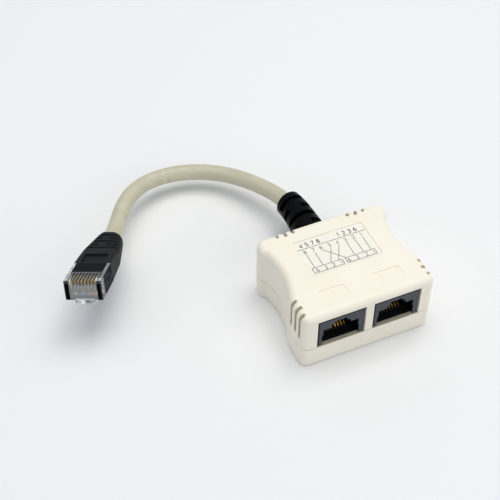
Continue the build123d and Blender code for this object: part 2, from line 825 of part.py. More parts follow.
def plug_section(y, width, height, corner):
    """A rounded rectangle across the plug's length at y."""
    place = Plane(origin=(0, y, 0), x_dir=(1, 0, 0), z_dir=(0, 1, 0))
    return place * RectangleRounded(width, height, corner)


def make_plug_body():
    """Clear plug body with its comb, wire lanes, cavity, rear cheeks and latch tab."""
    body = extrude(plug_section(0, plug_width, plug_height, plug_edge_radius), plug_clear_length)
    body = fillet(body.edges().filter_by_position(Axis.Y, -0.01, 0.01), plug_edge_radius - 0.1)
    body = body + make_latch()
    for k in range(contact_count):
        x = contact_x(0, k)
        half = comb_slot_width / 2
        body = body - box(x - half, x + half, -1, comb_length,
                          plug_height / 2 - comb_slot_depth, plug_height)
        body = body - blade_box(k, 0.02)
        lane = Plane(origin=(x, wire_lane_from_nose, wire_lane_height), z_dir=(0, 1, 0))
        lane_length = boot_front_from_nose + 1 - wire_lane_from_nose
        body = body - extrude(lane * Circle(wire_radius + wire_lane_gap), lane_length)
    body = body - plug_cavity(0)
    for cheek in plug_cheeks(0):
        body = body + cheek
    return body


def boot_slot(row):
    """One slot round the boot's tail; every second one leaves a bridge on top and underneath."""
    y = plug_length + boot_first_slot + row * boot_slot_pitch
    share = (boot_first_slot + row * boot_slot_pitch) / boot_length
    half_width = (plug_width + (boot_end_width - plug_width) * share) / 2 - boot_slot_depth
    half_height = (plug_height + (boot_end_height - plug_height) * share) / 2 - boot_slot_depth
    half_height = max(half_height, cable_radius + boot_skin)
    ring = box(-plug_width, plug_width, y, y + boot_slot_width, -plug_height, plug_height)
    kept = Plane(origin=(0, y - 1, 0), x_dir=(1, 0, 0), z_dir=(0, 1, 0))
    corner = min(half_width, half_height) * (0.35 + 0.55 * share)
    kept = kept * RectangleRounded(2 * half_width, 2 * half_height, corner)
    ring = ring - extrude(kept, boot_slot_width + 2)
    if row % 2:
        ring = ring - box(-boot_bridge_width / 2, boot_bridge_width / 2, y - 1, y + boot_slot_width + 1,
                          -plug_height, plug_height)
    else:
        ring = ring - box(-plug_width, plug_width, y - 1, y + boot_slot_width + 1,
                          -boot_bridge_width / 2, boot_bridge_width / 2)
    return ring


def make_boot(wires):
    """Black overmould: a core in the plug body's cavity, a sleeve behind it and a slotted tail."""
    core = plug_cavity(boot_gap) & box(-20, 20, -20, plug_clear_length + 1, -20, 20)
    shoulder = plug_section(plug_length + boot_gap, plug_width, plug_height, boot_shoulder_corner)
    front = plug_section(plug_clear_length + boot_gap, plug_width, plug_height, plug_edge_radius)
    end = plug_section(plug_length + boot_length, boot_end_width, boot_end_height, boot_end_corner)
    sleeve = loft([front, shoulder])
    for cheek in plug_cheeks(boot_gap):
        sleeve = sleeve - cheek
    pocket_end = pocket_from_nose + pocket_length
    sleeve = sleeve - box(-pocket_width / 2, pocket_width / 2, pocket_from_nose, pocket_end,
                          plug_height / 2 - pocket_depth, plug_height)
    tail = loft([shoulder, end])
    tail = fillet(tail.faces().sort_by(Axis.Y)[-1].edges(), 0.8)
    for row in range(boot_slot_rows):
        tail = tail - boot_slot(row)
    boot = core + sleeve + tail
    for wire in wires:
        boot = boot - wire
    return boot


def write(shape, name):
    """One STEP file for a node."""
    export_step(shape, f"parts/{name}.step")


def build():
    write(make_top_shell(), "top_shell")
    write(make_bottom_shell(), "bottom_shell")
    label_floor = housing_height - label_recess_depth
    write(prism(label_plan(label_gap), label_floor, label_floor + label_thickness), "label")
    write(make_board(), "circuit_board")
    for side, centre in port_centres.items():
        write(make_jack_shell(centre), f"jack_shell_{side}")
        write(make_carrier(centre), f"contact_carrier_{side}")
        for k in range(contact_count):
            write(make_contact(contact_x(centre, k), k), f"jack_{side}_contact_{k + 1}")

    cable = make_cable()
    write(cable, "cable")
    write(make_relief(cable), "strain_relief")
    for k in range(wire_count):
        write(board_wire(k), f"board_wire_{k + 1}")

    frame = plug_frame()
    wires = [make_plug_wire(k) for k in range(wire_count)]
    write(frame * make_plug_body() - cable, "plug_body")
    write(frame * make_boot(wires) - cable, "plug_boot")
    for k in range(contact_count):
        write(frame * make_plug_contact(k), f"plug_contact_{k + 1}")
        write(frame * wires[k], f"plug_wire_{k + 1}")


build()
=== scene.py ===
import bpy
import numpy as np
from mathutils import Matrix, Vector


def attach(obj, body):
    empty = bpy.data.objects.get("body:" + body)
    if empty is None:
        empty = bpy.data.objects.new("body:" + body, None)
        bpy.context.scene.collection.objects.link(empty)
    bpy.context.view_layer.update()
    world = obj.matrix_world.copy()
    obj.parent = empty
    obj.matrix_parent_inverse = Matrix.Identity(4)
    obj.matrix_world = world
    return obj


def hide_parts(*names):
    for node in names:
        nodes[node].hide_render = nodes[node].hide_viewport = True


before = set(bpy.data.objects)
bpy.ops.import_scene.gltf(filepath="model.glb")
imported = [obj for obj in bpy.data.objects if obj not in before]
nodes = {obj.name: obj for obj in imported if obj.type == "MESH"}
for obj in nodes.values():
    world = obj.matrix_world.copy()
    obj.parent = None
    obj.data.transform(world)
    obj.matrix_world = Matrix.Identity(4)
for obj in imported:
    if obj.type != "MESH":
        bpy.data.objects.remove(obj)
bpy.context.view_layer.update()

print("frame loaded:", len(nodes), "nodes")


# Meshes

def addPiece(name, verts, faces, material, smooth=False):
    # arrays of points and faces go into a new object that rides on the part
    mesh = bpy.data.meshes.new(name)
    mesh.from_pydata(verts.tolist(), [], faces)
    mesh.polygons.foreach_set("use_smooth", np.full(len(mesh.polygons), smooth))
    mesh.update()
    mesh.materials.append(material)
    piece = bpy.data.objects.new(name, mesh)
    bpy.context.scene.collection.objects.link(piece)
    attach(piece, "root")
    return piece


def carryLoop(points, sides, ups, loop):
    # every point of the closed loop (a, b) at every path point: path point + a * side + b * up
    verts = points[:, None] + sides[:, None] * loop[None, :, :1] + ups[:, None] * loop[None, :, 1:]
    count, size = len(points), len(loop)
    start = np.arange(count - 1)[:, None] * size
    here = np.arange(size)[None, :]
    after = (here + 1) % size
    quads = np.stack([start + here, start + after, start + size + after, start + size + here], axis=-1)
    caps = [list(range(size))[::-1], list(range((count - 1) * size, count * size))]
    return verts.reshape(-1, 3), quads.reshape(-1, 4).tolist() + caps


def joinParts(parts):
    # several (points, faces) pairs become one, with face numbers moved on by the points before each
    allVerts, allFaces, offset = [], [], 0
    for verts, faces in parts:
        allVerts.append(verts)
        allFaces += [[index + offset for index in face] for face in faces]
        offset += len(verts)
    return np.concatenate(allVerts), allFaces


def paintNode(nodeName, material):
    # one material over a whole CAD node
    materials = nodes[nodeName].data.materials
    materials.clear()
    materials.append(material)


# Materials, all on Object coordinates in metres

# how far a painted edge takes to fade, and where the middle of each port lies along x
softEdge = 0.0001
portCentres = {"left": -0.0093, "right": 0.0093}
# octaves of a noise for broad drift, drawing marks and grain, and the range where most of it lies
broadDetail, markDetail, grainDetail = 2.0, 3.0, 4.0
noiseLow, noiseHigh = 0.3, 0.7
# highlight strength of a plastic that doesn't name its own
plainSpecular = 0.5


def linear(red, green, blue):
    # a colour as an image editor shows it, 0 to 255, turned into Blender's linear values
    srgb = np.array([red, green, blue]) / 255
    values = np.where(srgb <= 0.04045, srgb / 12.92, ((srgb + 0.055) / 1.055) ** 2.4)
    return (*values.tolist(), 1.0)


def startMaterial(name):
    # an empty material with its node tree and its shader
    material = bpy.data.materials.new(name)
    material.use_nodes = True
    tree = material.node_tree
    return material, tree, tree.nodes["Principled BSDF"]


def feed(tree, value, socket):
    # another socket is linked to this one, a plain number or colour is set on it
    if isinstance(value, bpy.types.NodeSocket):
        tree.links.new(value, socket)
    else:
        socket.default_value = value


def addNoise(tree, scale, detail, stretch=(1, 1, 1)):
    # noise on the object's own coordinates, finer along an axis with a larger stretch
    coords = tree.nodes.new("ShaderNodeTexCoord")
    mapping = tree.nodes.new("ShaderNodeMapping")
    mapping.inputs["Scale"].default_value = stretch
    noise = tree.nodes.new("ShaderNodeTexNoise")
    noise.inputs["Scale"].default_value = scale
    noise.inputs["Detail"].default_value = detail
    tree.links.new(coords.outputs["Object"], mapping.inputs["Vector"])
    tree.links.new(mapping.outputs["Vector"], noise.inputs["Vector"])
    return noise.outputs["Fac"]


def addRange(tree, value, low, high):
    # spreads the range that most of a noise lies in over low to high
    spread = tree.nodes.new("ShaderNodeMapRange")
    spread.inputs["From Min"].default_value = noiseLow
    spread.inputs["From Max"].default_value = noiseHigh
    spread.inputs["To Min"].default_value = low
    spread.inputs["To Max"].default_value = high
    tree.links.new(value, spread.inputs["Value"])
    return spread.outputs["Result"]


def addMix(tree, factor, first, second):
    # the first colour where factor is 0, the second where it is 1
    mix = tree.nodes.new("ShaderNodeMix")
    mix.data_type = "RGBA"
    feed(tree, first, mix.inputs["A"])
    feed(tree, second, mix.inputs["B"])
    feed(tree, factor, mix.inputs["Factor"])
    return mix.outputs["Result"]


def addBump(tree, shader, height, distance):
    # a height of 0 to 1 tips the normals as a relief of this depth in metres would
    bump = tree.nodes.new("ShaderNodeBump")
    bump.inputs["Distance"].default_value = distance
    tree.links.new(height, bump.inputs["Height"])
    tree.links.new(bump.outputs["Normal"], shader.inputs["Normal"])


def along(tree, axis, origin=(0, 0, 0)):
    # distance of the shaded point from origin, measured along an axis: (point - origin) . axis
    coords = tree.nodes.new("ShaderNodeTexCoord")
    offset = tree.nodes.new("ShaderNodeVectorMath")
    offset.operation = "SUBTRACT"
    offset.inputs[1].default_value = origin
    dot = tree.nodes.new("ShaderNodeVectorMath")
    dot.operation = "DOT_PRODUCT"
    dot.inputs[1].default_value = axis
    tree.links.new(coords.outputs["Object"], offset.inputs[0])
    tree.links.new(offset.outputs["Vector"], dot.inputs[0])
    return dot.outputs["Value"]


def addStep(tree, value, start, end):
    # 0 at start and before it, 1 at end and past it, whichever of the two is higher
    step = tree.nodes.new("ShaderNodeMapRange")
    step.inputs["From Min"].default_value = start
    step.inputs["From Max"].default_value = end
    tree.links.new(value, step.inputs["Value"])
    return step.outputs["Result"]


def addMath(tree, operation, first, second=0.0):
    # one arithmetic step on sockets or plain numbers
    node = tree.nodes.new("ShaderNodeMath")
    node.operation = operation
    feed(tree, first, node.inputs[0])
    feed(tree, second, node.inputs[1])
    return node.outputs["Value"]


def product(tree, *factors):
    # all factors multiplied
    result = factors[0]
    for factor in factors[1:]:
        result = addMath(tree, "MULTIPLY", result, factor)
    return result


def shadeWhere(tree, shader, mask, shade):
    # the base colour so far turns to the shade where the mask is 1
    base = shader.inputs["Base Color"]
    tree.links.new(addMix(tree, mask, base.links[0].from_socket, shade), base)


def mouldedPlastic(name, settings):
    # broad cloudy colour drift, fine spark-eroded grain in the height, and a slightly uneven roughness
    material, tree, shader = startMaterial(name)
    drift = addRange(tree, addNoise(tree, settings["driftScale"], broadDetail), 0.0, 1.0)
    colour = addMix(tree, drift, settings["colour"], settings["drift"])
    tree.links.new(colour, shader.inputs["Base Color"])
    grain = addNoise(tree, settings["grainScale"], grainDetail)
    tree.links.new(addRange(tree, grain, *settings["roughness"]), shader.inputs["Roughness"])
    addBump(tree, shader, grain, settings["grainDepth"])
    shader.inputs["Specular IOR Level"].default_value = settings.get("specular", plainSpecular)
    return material


housingPlastic = mouldedPlastic("ivoryHousingPlastic", {
    "colour": linear(250, 244, 229),
    "drift": linear(247, 240, 223),
    "driftScale": 70,
    "grainScale": 5200,
    "grainDepth": 0.000006,
    "roughness": (0.42, 0.52),
})
seamSettings = {
    "height": 0.00775,
    "half": 0.00012,
    "edge": 0.00003,
    "colour": linear(198, 188, 166),
}


def drawSeam(material, settings):
    # the parting line between the two shells gathers a little shade, within half a width of its height
    tree = material.node_tree
    away = addMath(tree, "ABSOLUTE", along(tree, (0, 0, 1), (0, 0, settings["height"])))
    shade = addStep(tree, away, settings["half"], settings["half"] - settings["edge"])
    shadeWhere(tree, tree.nodes["Principled BSDF"], shade, settings["colour"])


drawSeam(housingPlastic, seamSettings)
# painted shade inside the vent grooves at the front corners and on the back
grooveShadeSettings = {
    "half": 0.00061,
    "lowEnd": 0.0114,
    "colour": linear(216, 207, 184),
    "sides": ((-0.0154, 0.02045), (-0.01255, 0.02005), (-0.0097, 0.02045)),
    "backs": ((0.0095, 0.0165), (0.0122, 0.0161), (0.0149, 0.0165)),
}


def shadeGrooves(material, settings):
    # painted shade inside a groove: within half a width of its middle line, above its low end, past its
    # start on top
    tree = material.node_tree
    x = addMath(tree, "ABSOLUTE", along(tree, (1, 0, 0)))
    y = along(tree, (0, 1, 0))
    high = addMath(tree, "GREATER_THAN", along(tree, (0, 0, 1)), settings["lowEnd"])
    inside = 0.0
    for line, reach, places in ((y, x, settings["sides"]), (x, y, settings["backs"])):
        for middle, start in places:
            near = addMath(tree, "COMPARE", line, middle)
            near.node.inputs[2].default_value = settings["half"]
            past = addMath(tree, "GREATER_THAN", reach, start)
            inside = addMath(tree, "MAXIMUM", product(tree, near, past), inside)
    shadeWhere(tree, tree.nodes["Principled BSDF"], product(tree, inside, high), settings["colour"])


shadeGrooves(housingPlastic, grooveShadeSettings)
jackSettings = {
    "colour": linear(78, 82, 88),
    "drift": linear(72, 76, 82),
    "driftScale": 90,
    "grainScale": 6000,
    "grainDepth": 0.000004,
    "roughness": (0.38, 0.5),
    "specular": 0.18,
    # painted shade inside the jack, and a painted shadow of the gap along its top and left edge
    "inside": linear(12, 13, 15),
    "insideFrom": -0.01765,
    "insideTo": -0.0172,
    "rimShadow": linear(4, 4, 5),
    "rimShadowHeight": 0.0179,
    "rimShadowWidth": 0.00712,
}


def makeJack(side, settings):
    # grey face with painted shade that turns it near black inside, and a painted shadow of the gap along
    # its top and its left edge
    material = mouldedPlastic(f"greyJackPlastic.{side}", settings)
    tree = material.node_tree
    shader = tree.nodes["Principled BSDF"]
    # painted shade: deeper in than the face, the jack turns near black
    inside = addStep(tree, along(tree, (0, 1, 0)), settings["insideFrom"], settings["insideTo"])
    shadeWhere(tree, shader, inside, settings["inside"])
    # painted shadow of the gap above the face and left of it
    high = addStep(tree, along(tree, (0, 0, 1)), settings["rimShadowHeight"], settings["rimShadowHeight"] + softEdge)
    across = along(tree, (-1, 0, 0), (portCentres[side], 0, 0))
    left = addStep(tree, across, settings["rimShadowWidth"], settings["rimShadowWidth"] + softEdge)
    shadeWhere(tree, shader, addMath(tree, "MAXIMUM", high, left), settings["rimShadow"])
    return material


jackPlastics = {side: makeJack(side, jackSettings) for side in portCentres}
carrierPlastic = mouldedPlastic("darkCarrierPlastic", {
    "colour": linear(22, 23, 26),
    "drift": linear(17, 18, 21),
    "driftScale": 120,
    "grainScale": 7000,
    "grainDepth": 0.000003,
    "roughness": (0.4, 0.55),
})
bootVinyl = mouldedPlastic("blackBootVinyl", {
    "colour": linear(30, 31, 33),
    "drift": linear(35, 36, 38),
    "driftScale": 200,
    "grainScale": 4200,
    "grainDepth": 0.000004,
    "roughness": (0.45, 0.6),
    "specular": 0.1,
})
reliefVinyl = mouldedPlastic("blackReliefVinyl", {
    "colour": linear(5, 6, 8),
    "drift": linear(9, 10, 12),
    "driftScale": 200,
    "grainScale": 3600,
    "grainDepth": 0.000004,
    "roughness": (0.34, 0.46),
    "specular": 0.07,
})
cableVinylSettings = {
    "colour": linear(204, 200, 178),
    "drift": linear(196, 191, 166),
    "driftScale": 260,
    "grainScale": 3800,
    "grainDepth": 0.000008,
    "roughness": (0.4, 0.52),
    "waveScale": 330,
    "waveDepth": 0.00022,
    # a painted highlight along one crease: where it lies, which way it runs, how far, how wide and how
    # pale
    "creasePlace": (-0.03396, 0.07095, 0.00746),
    "creaseHeading": (-0.988, -0.115, 0.104),
    "creaseReach": 0.005,
    "creaseFade": 0.001,
    "creaseHalf": 0.0006,
    "creaseHighlightCover": 0.5,
    "creaseHighlightColour": linear(222, 219, 200),
}


def makeCableVinyl(settings):
    # jacket with a slightly wavy skin, and a painted highlight along one faint crease on the inner side
    # of its bend: a thin slice square to the cable, near one place
    material = mouldedPlastic("greyBeigeCableVinyl", settings)
    tree = material.node_tree
    shader = tree.nodes["Principled BSDF"]
    grain = shader.inputs["Normal"].links[0].from_node
    wave = tree.nodes.new("ShaderNodeBump")
    wave.inputs["Distance"].default_value = settings["waveDepth"]
    tree.links.new(addNoise(tree, settings["waveScale"], broadDetail), wave.inputs["Height"])
    tree.links.new(wave.outputs["Normal"], grain.inputs["Normal"])
    coords = tree.nodes.new("ShaderNodeTexCoord")
    place = settings["creasePlace"]
    distance = tree.nodes.new("ShaderNodeVectorMath")
    distance.operation = "DISTANCE"
    distance.inputs[1].default_value = place
    tree.links.new(coords.outputs["Object"], distance.inputs[0])
    near = addMath(tree, "LESS_THAN", distance.outputs["Value"], settings["creaseReach"])
    inner = addStep(tree, along(tree, (0, -1, 0), place), 0.0, settings["creaseFade"])
    away = addMath(tree, "ABSOLUTE", along(tree, settings["creaseHeading"], place))
    thin = addStep(tree, away, settings["creaseHalf"], 0.0)
    creaseHighlight = product(tree, near, inner, thin, settings["creaseHighlightCover"])
    shadeWhere(tree, shader, creaseHighlight, settings["creaseHighlightColour"])
    return material


cableVinyl = makeCableVinyl(cableVinylSettings)
boardMask = mouldedPlastic("greenBoardMask", {
    "colour": linear(24, 92, 50),
    "drift": linear(18, 76, 42),
    "driftScale": 500,
    "grainScale": 3000,
    "grainDepth": 0.000008,
    "roughness": (0.25, 0.4),
})
labelFilm = mouldedPlastic("paleLabelFilm", {
    "colour": linear(248, 245, 234),
    "drift": linear(246, 242, 230),
    "driftScale": 150,
    "grainScale": 7000,
    "grainDepth": 0.000002,
    "roughness": (0.34, 0.42),
})
labelInk = mouldedPlastic("greyLabelInk", {
    "colour": linear(78, 79, 78),
    "drift": linear(104, 104, 100),
    "driftScale": 2600,
    "grainScale": 9000,
    "grainDepth": 0.000001,
    "roughness": (0.4, 0.5),
})


goldSettings = {
    "colour": linear(238, 200, 112),
    "drift": linear(216, 170, 80),
    "shaded": linear(46, 36, 24),
    "shadedHigh": 0.0091,
    "highFade": 0.0004,
    "shadedLow": 0.0086,
    "lowFade": 0.0002,
    "shadedBeside": 0.0,
    "markScale": 1800,
    "markStretch": (6, 1, 1),
    "markDepth": 0.000002,
    "roughness": (0.2, 0.36),
}
# painted shade: the right jack's contacts are the same gold, drawn dimmer
rightGoldInShade = {**goldSettings, "colour": linear(186, 158, 88), "drift": linear(150, 122, 62)}
bladeGold = {**goldSettings, "colour": linear(214, 180, 104), "drift": linear(168, 134, 70)}


def makeGold(name, settings, side=None):
    # plated strip with faint drawing marks; inside a jack it is dark above a height, below another one
    # and left of the port's middle, because the roof and the walls keep the light off it there
    material, tree, shader = startMaterial(name)
    shader.inputs["Metallic"].default_value = 1.0
    marks = addNoise(tree, settings["markScale"], markDetail, settings["markStretch"])
    colour = addMix(tree, marks, settings["colour"], settings["drift"])
    tree.links.new(colour, shader.inputs["Base Color"])
    if side:
        height = along(tree, (0, 0, 1))
        across = along(tree, (-1, 0, 0), (portCentres[side], 0, 0))
        above, below = settings["shadedHigh"], settings["shadedLow"]
        high = addStep(tree, height, above, above + settings["highFade"])
        low = addStep(tree, height, below, below - settings["lowFade"])
        beside = addStep(tree, across, settings["shadedBeside"], settings["shadedBeside"] + softEdge)
        away = addMath(tree, "MAXIMUM", addMath(tree, "MAXIMUM", high, low), beside)
        shadeWhere(tree, shader, away, settings["shaded"])
    tree.links.new(addRange(tree, marks, *settings["roughness"]), shader.inputs["Roughness"])
    addBump(tree, shader, marks, settings["markDepth"])
    return material


wireSettings = {
    "stripeScale": 160,
    "stripeBend": 0.6,
    "grainScale": 5000,
    "roughness": (0.28, 0.4),
}


def makeWire(name, base, stripe, settings):
    # insulation in one colour, or white with a stripe of its pair's colour wound round it
    material, tree, shader = startMaterial(name)
    coords = tree.nodes.new("ShaderNodeTexCoord")
    waves = tree.nodes.new("ShaderNodeTexWave")
    waves.inputs["Scale"].default_value = settings["stripeScale"]
    waves.inputs["Distortion"].default_value = settings["stripeBend"]
    tree.links.new(coords.outputs["Object"], waves.inputs["Vector"])
    wound = addRange(tree, waves.outputs["Fac"], 0.0, 1.0)
    tree.links.new(addMix(tree, wound, base, stripe), shader.inputs["Base Color"])
    grain = addNoise(tree, settings["grainScale"], broadDetail)
    tree.links.new(addRange(tree, grain, *settings["roughness"]), shader.inputs["Roughness"])
    return material


jackGold = {
    "left": makeGold("jackGold.left", goldSettings, "left"),
    "right": makeGold("jackGold.right", rightGoldInShade, "right"),
}
plugGold = makeGold("plugGold", bladeGold)
wireColours = {
    1: ((250, 226, 206), (250, 176, 130)),
    2: ((250, 150, 92), (242, 138, 82)),
    3: ((236, 236, 228), (160, 176, 158)),
    4: ((130, 142, 164), (118, 130, 154)),
    5: ((236, 236, 238), (150, 162, 184)),
    6: ((142, 160, 144), (130, 148, 134)),
    7: ((238, 230, 218), (180, 156, 138)),
    8: ((160, 140, 124), (146, 126, 110)),
}
wireMaterials = {
    number: makeWire(f"wireInsulation{number}", linear(*base), linear(*stripe), wireSettings)
    for number, (base, stripe) in wireColours.items()
}
print("materials made")


# Housing, jacks and the black mouldings

paintNode("top_shell", housingPlastic)
paintNode("bottom_shell", housingPlastic)
paintNode("strain_relief", reliefVinyl)
for side in portCentres:
    paintNode(f"jack_shell_{side}", jackPlastics[side])
    paintNode(f"contact_carrier_{side}", carrierPlastic)
    for number in range(1, 9):
        paintNode(f"jack_{side}_contact_{number}", jackGold[side])
paintNode("circuit_board", boardMask)
paintNode("label", labelFilm)
print("housing dressed")


# Plug

cableSettings = {
    "diameter": 0.0055,
    "length": 0.116,
    "bevelSteps": 8,
    "curveSteps": 12,
    "curveOrder": 3,
    "exit": (0.0, 0.0183, 0.0114),
    "route": [
        (0.0, 0.0235, 0.0114),
        (0.0, 0.0377, 0.0114),
        (-0.0045, 0.0519, 0.0089),
        (-0.0132, 0.0649, 0.0069),
        (-0.0254, 0.0713, 0.0066),
        (-0.0384, 0.0709, 0.0079),
        (-0.0496, 0.0638, 0.0094),
        (-0.0580, 0.0496, 0.0090),
        (-0.0652, 0.0379, 0.0139),
    ],
}


plugSettings = {
    "topDirection": (0.074, 0.349, 0.934),
    "lastPointFromNose": 0.0237,
    "contactPitch": 0.00102,
    "middleLane": 4.5,
    "laneHeight": -0.00125,
    "laneEnd": 0.0058,
    "laneGrow": 1.09,
    "coreEnd": 0.01145,
    "coreGrow": 0.00007,
    "coreSide": 0.0047,
    "coreTop": 0.0023,
    "coreUnder": -0.00235,
    "coreFront": 0.0059,
}


def plugAxes(settings, route):
    # across, rearward and up: the last run of the route, and two directions square to it
    last = Vector(route[-1])
    rearward = (Vector(route[-2]) - last).normalized()
    across = rearward.cross(Vector(settings["topDirection"])).normalized()
    up = across.cross(rearward)
    nose = last - rearward * settings["lastPointFromNose"]
    return np.array(nose), np.array([across, rearward, up])


nose, axes = plugAxes(plugSettings, cableSettings["route"])


def movedCopy(nodeName, pieceName, material, move):
    # a copy of a CAD node, its points moved in the plug's own frame: (point - nose) . axes, and back
    mesh = nodes[nodeName].data.copy()
    mesh.name = pieceName
    flat = np.empty(len(mesh.vertices) * 3)
    mesh.vertices.foreach_get("co", flat)
    local = move((flat.reshape(-1, 3) - nose) @ axes.T)
    mesh.vertices.foreach_set("co", (local @ axes + nose).ravel())
    mesh.update()
    mesh.materials.clear()
    mesh.materials.append(material)
    piece = bpy.data.objects.new(pieceName, mesh)
    bpy.context.scene.collection.objects.link(piece)
    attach(piece, "root")
    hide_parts(nodeName)
    return piece


def growCore(local):
    # the overmould's core swells into the clear plastic, so that it reads as bonded to it
    settings = plugSettings
    grow = settings["coreGrow"]
    across, rearward, up = local.T
    front = rearward < settings["coreEnd"]
    side = np.sign(across) * (front & (np.abs(across) > settings["coreSide"]))
    high = (front & (up > settings["coreTop"])).astype(float)
    low = (front & (up < settings["coreUnder"])).astype(float)
    face = (rearward < settings["coreFront"]).astype(float)
    return local + grow * np.stack([side, -face, high - low], axis=1)


def growWire(number):
    # one wire end swells about its own lane, for the same reason
    settings = plugSettings
    lane = (settings["middleLane"] - number) * settings["contactPitch"]
    centre = np.array([lane, settings["laneHeight"]])

    def move(local):
        front = local[:, 1] < settings["laneEnd"]
        swollen = centre + (local[:, [0, 2]] - centre) * settings["laneGrow"]
        local[:, [0, 2]] = np.where(front[:, None], swollen, local[:, [0, 2]])
        return local
    return move


clearSettings = {
    "tint": linear(240, 245, 247),
    # painted dark colour on the clear plastic, and paler painted reflection streaks on the cheeks
    "paintedDark": linear(36, 37, 39),
    "reflectionStreak": linear(78, 84, 92),
    "streakScales": (260, 1500),
    "streakRange": (0.46, 0.66),
    "panel": linear(13, 15, 18),
    "ior": 1.56,
    "specular": 0.3,
    "paintedDarkSpecular": 0.0,
    "paintedDarkIor": 1.08,
    "paintedDarkCover": 0.9,
    "veilCover": 0.24,
    "finCover": 0.16,
    "roughness": (0.03, 0.1),
    "flowScale": 700,
    "flowDepth": 0.00001,
    "facingRange": (0.6, 0.7),
    "combHalf": 0.0042,
    "panelHalf": 0.0057,
    "panelEdge": 0.0002,
    "panelTop": 0.0027,
    "panelTopEdge": 0.0003,
    "marginFrom": 0.0048,
    "cheekFrom": 0.0011,
    "cheekTo": 0.0032,
    "roofFrom": 0.0057,
    "underside": -0.0034,
}


def clearMasks(tree, settings):
    # where the clear body looks like what: each mask is a product of how far across, rearward or up from
    # the nose's middle the point lies, and along which of these three directions its face looks
    geometry = tree.nodes.new("ShaderNodeNewGeometry")
    facing, places = [], []
    for axis in axes:
        dot = tree.nodes.new("ShaderNodeVectorMath")
        dot.operation = "DOT_PRODUCT"
        dot.inputs[1].default_value = axis
        tree.links.new(geometry.outputs["Normal"], dot.inputs[0])
        aligned = addMath(tree, "ABSOLUTE", dot.outputs["Value"])
        facing.append(addStep(tree, aligned, *settings["facingRange"]))
        places.append(along(tree, axis, nose))
    facesSide, facesNose, facesUp = facing
    across = addMath(tree, "ABSOLUTE", places[0])
    rearward, up = places[1:]
    beside = addStep(tree, across, settings["combHalf"], settings["combHalf"] + settings["panelEdge"])
    inner = addStep(tree, across, settings["panelHalf"], settings["panelHalf"] - settings["panelEdge"])
    middle = addMath(tree, "SUBTRACT", 1.0, beside)
    margin = addStep(tree, across, settings["marginFrom"], settings["marginFrom"] + softEdge)
    low = addStep(tree, up, settings["panelTop"], settings["panelTop"] - settings["panelTopEdge"])
    above = addMath(tree, "GREATER_THAN", up, settings["underside"])
    upper = addMath(tree, "GREATER_THAN", up, 0.0)
    between = addMath(tree, "SUBTRACT", 1.0, margin)
    comb = addStep(tree, rearward, settings["roofFrom"], settings["roofFrom"] - softEdge)
    behindComb = addStep(tree, rearward, settings["roofFrom"], settings["roofFrom"] + softEdge)
    back = addStep(tree, rearward, settings["cheekFrom"], settings["cheekTo"])
    front, edges = product(tree, middle, facesNose), product(tree, margin, facesUp)
    return {
        "panel": product(tree, beside, inner, facesNose, low),
        "cheek": product(tree, facesSide, back, above),
        "roof": product(tree, facesUp, between, upper, behindComb),
        "fins": product(tree, middle, facesUp, comb),
        "veil": addMath(tree, "MAXIMUM", front, edges),
        "outside": addMath(tree, "SUBTRACT", 1.0, geometry.outputs["Backfacing"]),
        "rearward": rearward,
        "up": up,
    }


def addStreaks(tree, masks, settings):
    # noise drawn out along the plug: far finer in height than in length
    vector = tree.nodes.new("ShaderNodeCombineXYZ")
    for socket, place, scale in zip("XY", (masks["rearward"], masks["up"]), settings["streakScales"]):
        tree.links.new(addMath(tree, "MULTIPLY", place, scale), vector.inputs[socket])
    noise = tree.nodes.new("ShaderNodeTexNoise")
    noise.inputs["Scale"].default_value = 1.0
    tree.links.new(vector.outputs["Vector"], noise.inputs["Vector"])
    return addStep(tree, noise.outputs["Fac"], *settings["streakRange"])


def makeClear(settings):
    # clear polycarbonate with faint flow marks: painted dark beside the comb, over the overmould and on
    # its cheeks, where it stands in for a dark reflection under paler painted reflection streaks; and a
    # little milky on the comb, in the middle of the nose and along the two top margins
    material, tree, shader = startMaterial("clearPlugPlastic")
    flow = addNoise(tree, settings["flowScale"], broadDetail)
    tree.links.new(addRange(tree, flow, *settings["roughness"]), shader.inputs["Roughness"])
    addBump(tree, shader, flow, settings["flowDepth"])
    masks = clearMasks(tree, settings)
    dark = addMath(tree, "MAXIMUM", masks["panel"], masks["cheek"])
    dark = addMath(tree, "MAXIMUM", dark, masks["roof"])
    # painted dark beside the comb, over the overmould and on the cheeks, on outward faces only
    paintedDark = product(tree, dark, masks["outside"])
    milk = addMath(tree, "MAXIMUM", product(tree, masks["veil"], settings["veilCover"]),
                   product(tree, masks["fins"], settings["finCover"]))
    cover = addMath(tree, "MAXIMUM", product(tree, paintedDark, settings["paintedDarkCover"]),
                    product(tree, milk, masks["outside"]))
    tree.links.new(addMath(tree, "SUBTRACT", 1.0, cover), shader.inputs["Transmission Weight"])
    for socket, plain, paintedDarkValue in (("Specular IOR Level", settings["specular"], settings["paintedDarkSpecular"]),
                                 ("IOR", settings["ior"], settings["paintedDarkIor"])):
        level = addMath(tree, "ADD", product(tree, paintedDark, paintedDarkValue - plain), plain)
        tree.links.new(level, shader.inputs[socket])
    colour = addMix(tree, paintedDark, settings["tint"], settings["paintedDark"])
    tree.links.new(colour, shader.inputs["Base Color"])
    reflectionStreaks = addStreaks(tree, masks, settings)
    # painted reflection streaks on the dark cheeks
    shadeWhere(tree, shader, product(tree, masks["cheek"], reflectionStreaks), settings["reflectionStreak"])
    shadeWhere(tree, shader, masks["panel"], settings["panel"])
    return material


